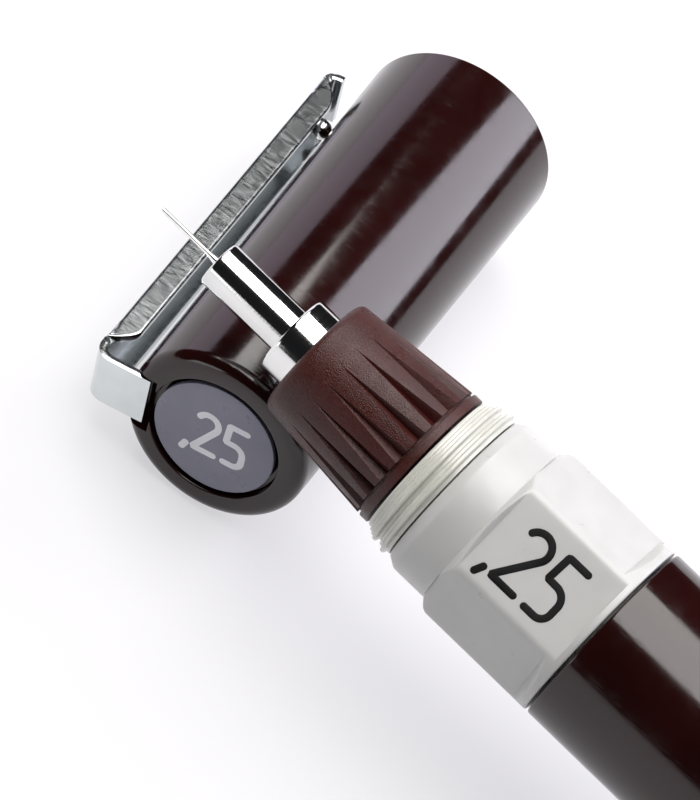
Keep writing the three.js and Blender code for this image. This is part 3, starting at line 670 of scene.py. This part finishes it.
steel = polished("steel", (0.80, 0.80, 0.79), 0.09)
shell_path = rounded([
    (0.30, 4.1, 0.02), (1.38, 4.1, 0.2), (1.38, 9.48, 0.05), (2.36, 9.48, 0.22), (2.36, 11.5, 0),
    (2.0, 11.5, 0), (2.0, 16.6, 0), (1.6, 16.6, 0), (1.6, 13.3, 0), (0.75, 12.5, 0),
    (0.75, 4.7, 0), (0.30, 4.45, 0),
], closed=True, steps=8)
piece("polished_shell", turned_mesh("polished_shell", pen, shell_path, closed=True),
      steel, "nib", "steel", "point_shell")
tube_path = rounded([
    (0.075, 0, 0.015), (0.13, 0, 0.03), (0.13, 3.3, 0), (0.24, 4.1, 0), (0.24, 4.6, 0),
    (0.45, 4.9, 0), (0.45, 7, 0), (0.075, 7, 0),
], closed=True)
piece("drawing_tube", turned_mesh("drawing_tube", pen, tube_path, closed=True, columns=48),
      steel, "nib", "steel", "writing_tube")

# ---------------------------------------------------------------------------------------------
# The inside of the nib: the core with its fine screw thread and its spiral air channel, the
# brass weight with the wire that clears the tube, and the plug that keeps them in.
# ---------------------------------------------------------------------------------------------
core_front = [(1.7, 16.9), (1.9, 16.9), (2.0, 17.0), (2.0, 19.3), (2.85, 19.75), (2.85, 20.2)]
core_path = threaded_path(
    core_front, 3.0, 20.4, 26.0, 0.09,
    np.vstack([
        np.column_stack([np.full(110, 2.5), np.linspace(26.4, 36.1, 110)]),
        [(2.4, 36.2), (1.7, 36.2)],
    ]),
)
core_points = threaded_points(core_path, 20.4, 26.0, 0.75, 0.22)
channel_turns = (core_path[:, 1:2] - 27.3) / 1.86
channel_angle = np.linspace(0, 2 * np.pi, core_points.shape[1], endpoint=False)
channel_phase = np.cos(2 * np.pi * channel_turns - channel_angle)
in_feed = (core_path[:, 1:2] > 27.2) & (core_path[:, 0:1] > 2.45)
channel_drop = np.where(in_feed, 0.28 * np.clip((channel_phase - 0.55) / 0.3, 0, 1), 0)
core_points[..., :2] *= (1 - channel_drop / 2.5)[..., None]
piece("feed_core", grid_mesh("feed_core", pen.place(core_points), wrap_rows=True),
      inner_plastic, "nib", "inner_plastic", "nib_core")

brass = polished("brass", (0.62, 0.46, 0.20), 0.22)
weight_path = rounded([
    (0, 14.2, 0), (0.6, 14.2, 0.1), (1.35, 15.2, 0.3), (1.35, 32.5, 0.35), (0, 32.5, 0),
])
piece("brass_weight", turned_mesh("brass_weight", pen, weight_path, columns=64),
      brass, "weight", "brass", "drop_weight")
wire_path = np.array([(0, 0.9), (0.03, 0.9), (0.045, 0.93), (0.045, 13.9), (0, 13.9)])
drawn_wire = polished("drawn_wire", (0.55, 0.56, 0.58), 0.25)
piece("clearing_wire", turned_mesh("clearing_wire", pen, wire_path, columns=16),
      drawn_wire, "weight", "wire", "cleaning_wire")
stop_path = rounded([
    (0.5, 32.8, 0), (1.35, 32.8, 0.15), (1.35, 36.5, 0), (2.3, 36.5, 0.1), (2.3, 37.1, 0.15),
    (0.5, 37.1, 0.1),
], closed=True)
piece("stop_plug", turned_mesh("stop_plug", pen, stop_path, closed=True, columns=64),
      inner_plastic, "nib", "inner_plastic", "weight_stop")

# ---------------------------------------------------------------------------------------------
# The two seals of the pen: a round rubber ring behind the flange of the nib, and a flat one
# in the mouth of the barrel. Each travels with the part that it seals.
# ---------------------------------------------------------------------------------------------
rubber = moulded("rubber", (0.012, 0.012, 0.012), (0.022, 0.022, 0.021), 0.62, 0.1, 0.4)
ring_centre = (3.27, 19.74)
ring_half = 0.185
ring_angle = np.linspace(0, 2 * np.pi, 24, endpoint=False)
ring_round = np.column_stack([
    ring_centre[0] + ring_half * np.cos(ring_angle), ring_centre[1] + ring_half * np.sin(ring_angle),
])
piece("nib_ring_seal", turned_mesh("nib_ring_seal", pen, ring_round, closed=True, columns=96),
      rubber, "nib_ring", "rubber", "nib_seal")
flat_ring = rounded([(4.65, 33.1, 0.08), (5.0, 33.1, 0.08), (5.0, 33.8, 0.08), (4.65, 33.8, 0.08)],
                    closed=True)
piece("barrel_ring_seal", turned_mesh("barrel_ring_seal", pen, flat_ring, closed=True, columns=96),
      rubber, "barrel_ring", "rubber", "barrel_seal")

# ---------------------------------------------------------------------------------------------
# The ink reservoir: a clear blow-moulded tube with a rounded closed end, pushed over the feed of
# the nib inside the barrel. It pulls off to be filled.
# ---------------------------------------------------------------------------------------------
reservoir_path = rounded([
    (2.7, 29.4, 0.05), (3.3, 29.4, 0.15), (3.3, 92.0, 1.8), (0, 92.0, 0), (0, 91.3, 0),
    (2.7, 91.3, 1.6),
], closed=True)
clear_plastic = moulded("clear_plastic", (0.80, 0.86, 0.86), (0.86, 0.90, 0.90), 0.12, 0.6, 0.03)
clear_plastic.node_tree.nodes["Principled BSDF"].inputs["Alpha"].default_value = 0.45
piece("clear_reservoir", turned_mesh("clear_reservoir", pen, reservoir_path, closed=True, columns=96),
      clear_plastic, "ink", "clear", "reservoir")

# ---------------------------------------------------------------------------------------------
# The cap: the same maroon plastic as the barrel, polished. Its closed end is dished for the
# disc and slotted for the clip, and its mouth is bored to fit the neck of the collar.
# ---------------------------------------------------------------------------------------------
cap_length = 29.0
cap_end_radius = 5.45
slot_half = 1.9
slot_depth = 1.05
recess_radius = 3.95
recess_depth = 0.65
cap_path = rounded([
    (0, recess_depth, 0), (recess_radius, recess_depth, 0.1), (recess_radius, 0, 0.12),
    (cap_end_radius, 0, 0.8), (body_radius, cap_length, 0.16), (5.25, cap_length, 0.14),
    (5.25, 24.2, 0), (4.95, 23.9, 0), (4.95, 2.0, 0.3), (0, 2.0, 0),
], steps=8)
cap_mesh = turned_mesh("cap_tube", cap, cap_path)
slot_corners = np.array([
    [x, y, z] for x in (recess_radius - 0.15, 7.5) for y in (-slot_half, slot_half)
    for z in (-1.0, slot_depth)
])
slot_faces = [(0, 1, 3, 2), (4, 6, 7, 5), (0, 4, 5, 1), (2, 3, 7, 6), (0, 2, 6, 4), (1, 5, 7, 3)]
slot_mesh = bpy.data.meshes.new("slot_cutter")
slot_mesh.from_pydata(cap.place(slot_corners).tolist(), [], slot_faces)
slot_cutter = bpy.data.objects.new("slot_cutter", slot_mesh)
scene.collection.objects.link(slot_cutter)
cap_tube = bpy.data.objects.new("cap_blank", cap_mesh)
scene.collection.objects.link(cap_tube)
slotting = cap_tube.modifiers.new("slot", "BOOLEAN")
slotting.operation = "DIFFERENCE"
slotting.solver = "EXACT"
slotting.object = slot_cutter
ready = cap_tube.evaluated_get(bpy.context.evaluated_depsgraph_get())
slotted_mesh = bpy.data.meshes.new_from_object(ready)
slotted_mesh.name = "cap_tube"
bpy.data.objects.remove(cap_tube)
bpy.data.objects.remove(slot_cutter)
piece("cap_tube", tidied(slotted_mesh), maroon_gloss, "cap", "maroon", "cap_shell")

# ---------------------------------------------------------------------------------------------
# The disc in the closed end: grey-lilac plastic, printed in white with the same line width so
# that the pen is known when it stands capped in its case.
# ---------------------------------------------------------------------------------------------
disc_radius = 3.65
disc_path = rounded([
    (0, disc_face, 0), (2.9, disc_face, 0), (disc_radius, disc_face + 0.06, 0.05),
    (disc_radius, 0.35, 0), (0, 0.35, 0),
])
lilac_plastic = moulded("lilac_plastic", (0.15, 0.15, 0.20), (0.19, 0.19, 0.245), 0.32, 0.25, 0.05)
piece("lilac_disc", turned_mesh("lilac_disc", cap, disc_path, columns=128),
      lilac_plastic, "cap", "disc", "cap_disc")

white_ink = moulded("white_ink", (0.62, 0.62, 0.66), (0.74, 0.74, 0.78), 0.4, 0.12, 0.1)


def on_disc(points):
    """Reading across the closed end, a little smaller than on the collar, about the middle."""
    size = 0.78
    middle = (2.35, 1.6)
    along = (points[..., 0] - middle[0]) * size
    tall = (points[..., 1] - middle[1]) * size
    return np.dstack([-along, tall, disc_face - 0.6 * points[..., 2]])


lettering("disc_marking", cap, figures(figure_height), 0.26, on_disc, white_ink, "cap", "disc")

# ---------------------------------------------------------------------------------------------
# The clip: one strip of stainless steel, pressed to shape. Its flat head lies in the slot of the
# closed end, the corner is bent over, and the arm has turned-down sides and a turned-in tip.
# ---------------------------------------------------------------------------------------------
sheet = 0.45
clip_half = 1.6
clip_top = 7.9
side_depth = 1.35
bend = 0.35


def clip_points(rows=150, columns=41):
    """A strip carried along a path in the plane of the clip: out along the head, round the
    corner, along the arm and in at the tip. Across, it runs down one side, over a rounded
    edge, across the web and down the other side; the sides grow from nothing after the corner
    and shrink again to the tip."""
    spine = rounded([
        (recess_radius + 0.3, 0.15, 0), (clip_top, 0.15, 1.1), (clip_top, 27.6, 0.8),
        (clip_top - 1.1, 27.6, 0),
    ], steps=16)
    along = np.concatenate([[0], np.cumsum(np.linalg.norm(np.diff(spine, axis=0), axis=1))])
    places = np.linspace(0, along[-1], rows)
    path = np.column_stack([np.interp(places, along, spine[:, k]) for k in (0, 1)])
    ahead = np.gradient(path, axis=0)
    ahead /= np.linalg.norm(ahead, axis=1, keepdims=True)
    inward = np.column_stack([-ahead[:, 1], ahead[:, 0]])
    corner_end = clip_top - recess_radius + 0.8
    tip_start = along[-1] - 3.4
    grow = np.clip((places - corner_end) / 1.6, 0, 1)
    shrink = np.clip((along[-1] - 1.2 - places) / (along[-1] - 1.2 - tip_start), 0, 1)
    depth = side_depth * np.sin(0.5 * np.pi * grow) * np.sin(0.5 * np.pi * shrink)
    share = np.linspace(-1, 1, columns)
    length = clip_half + depth
    travel = share[None, :] * length[:, None]
    side = np.sign(travel) * np.minimum(np.abs(travel), clip_half)
    below = np.maximum(0, np.abs(travel) - clip_half)
    past = np.clip((np.abs(travel) - (clip_half - bend)) / bend, 0, 1)
    edge_drop = 0.28 * bend * np.clip(depth / 0.5, 0, 1)[:, None]
    drop = np.where(np.abs(travel) > clip_half, edge_drop + below, edge_drop * past ** 2)
    radial = path[:, None, 0] + inward[:, None, 0] * drop
    station = path[:, None, 1] + inward[:, None, 1] * drop
    return np.dstack([radial, side, station])


clip_steel = polished("clip_steel", (0.66, 0.69, 0.70), 0.15, 0.004, "Object", (900, 5000, 5000))
strip = grid_mesh("pressed_clip", cap.place(clip_points()), wrap_columns=False)
clip = piece("pressed_clip", strip, clip_steel, None, "steel", "clip_head", "clip_arm")
thicken = clip.modifiers.new("sheet", "SOLIDIFY")
thicken.thickness = sheet * MM
thicken.offset = -1.0
thicken.use_even_offset = True
edges = clip.modifiers.new("edges", "BEVEL")
edges.width = 0.05 * MM
edges.segments = 2
edges.limit_method = "ANGLE"
bpy.context.view_layer.update()
finished = bpy.data.meshes.new_from_object(clip.evaluated_get(bpy.context.evaluated_depsgraph_get()))
clip.modifiers.clear()
clip.data = tidied(finished)
bend_start = cap.place([clip_top - 0.4, 0, 0.3])
bend_end = cap.place([clip_top - 0.4, 0, 5.0])
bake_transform(clip)

# ---------------------------------------------------------------------------------------------
# The ball of the clip: a polished steel ball on a short stem, riveted through the web near the
# tip, which grips the pocket against the cap.
# ---------------------------------------------------------------------------------------------
ball_station = 24.7
ball_foot = 5.9
ball_radius = 0.62
ball_angle = np.linspace(0, np.pi - 0.5, 28)
ball_round = np.column_stack([ball_radius * np.sin(ball_angle), ball_radius * (1 - np.cos(ball_angle))])
stem_radius = 0.3
stem_end = 1.3
ball_path = np.vstack([ball_round, [(stem_radius, stem_end), (0, stem_end)]])
clip_side = Axes(cap.place([ball_foot, 0, ball_station]), cap.x, cap.z)
piece("clip_ball_stud", turned_mesh("clip_ball_stud", clip_side, ball_path, columns=64),
      steel, "clip", "steel", "clip_ball")

# ---------------------------------------------------------------------------------------------
# The seal in the cap: a moulded liner with a lip, a soft cup that closes over the point, and a
# coil spring round the cup that keeps it forward until the nib presses it in.
# ---------------------------------------------------------------------------------------------
liner_path = rounded([
    (3.9, 2.3, 0), (4.6, 2.3, 0.1), (4.6, 14.8, 0.25), (3.05, 14.8, 0.12), (3.05, 14.2, 0.08),
    (3.9, 14.2, 0.1),
], closed=True)
piece("liner_sleeve", turned_mesh("liner_sleeve", cap, liner_path, closed=True, columns=96),
      inner_plastic, "cap", "inner_plastic", "cap_liner")
cup_path = rounded([
    (0, 3.4, 0), (2.3, 3.4, 0.25), (2.3, 13.2, 0.1), (3.6, 13.2, 0.15), (3.6, 13.9, 0.15),
    (2.75, 13.9, 0.1), (2.75, 15.0, 0.3), (1.6, 15.0, 0.25), (1.6, 4.2, 0.3), (0, 4.2, 0),
])
piece("soft_cup", turned_mesh("soft_cup", cap, cup_path, columns=96),
      rubber, "seal", "rubber", "seal_cup")

coil_radius = 3.05
coil_wire = 0.2
coil_start, coil_end = 2.5, 12.7
coil_turns = 5


def coil_points(steps=260, sides=12):
    """A round wire carried along a helix. At each step the wire's section lies in the plane of
    the outward direction and the axis, and it shrinks to a point at both ends."""
    share = np.linspace(0, 1, steps)[:, None]
    angle = 2 * np.pi * coil_turns * share
    section = np.linspace(0, 2 * np.pi, sides, endpoint=False)
    wire = coil_wire * np.minimum(1, np.minimum(share, 1 - share) * steps / 1.5)
    radius = coil_radius + wire * np.cos(section)
    station = coil_start + (coil_end - coil_start) * share + wire * np.sin(section)
    return np.dstack([radius * np.cos(angle), radius * np.sin(angle), station])


coil = piece("coil_spring", grid_mesh("coil_spring", cap.place(coil_points())),
             drawn_wire, "cap", "wire", "seal_spring")
coil_foot = cap.place([0, 0, coil_start])
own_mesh(coil)
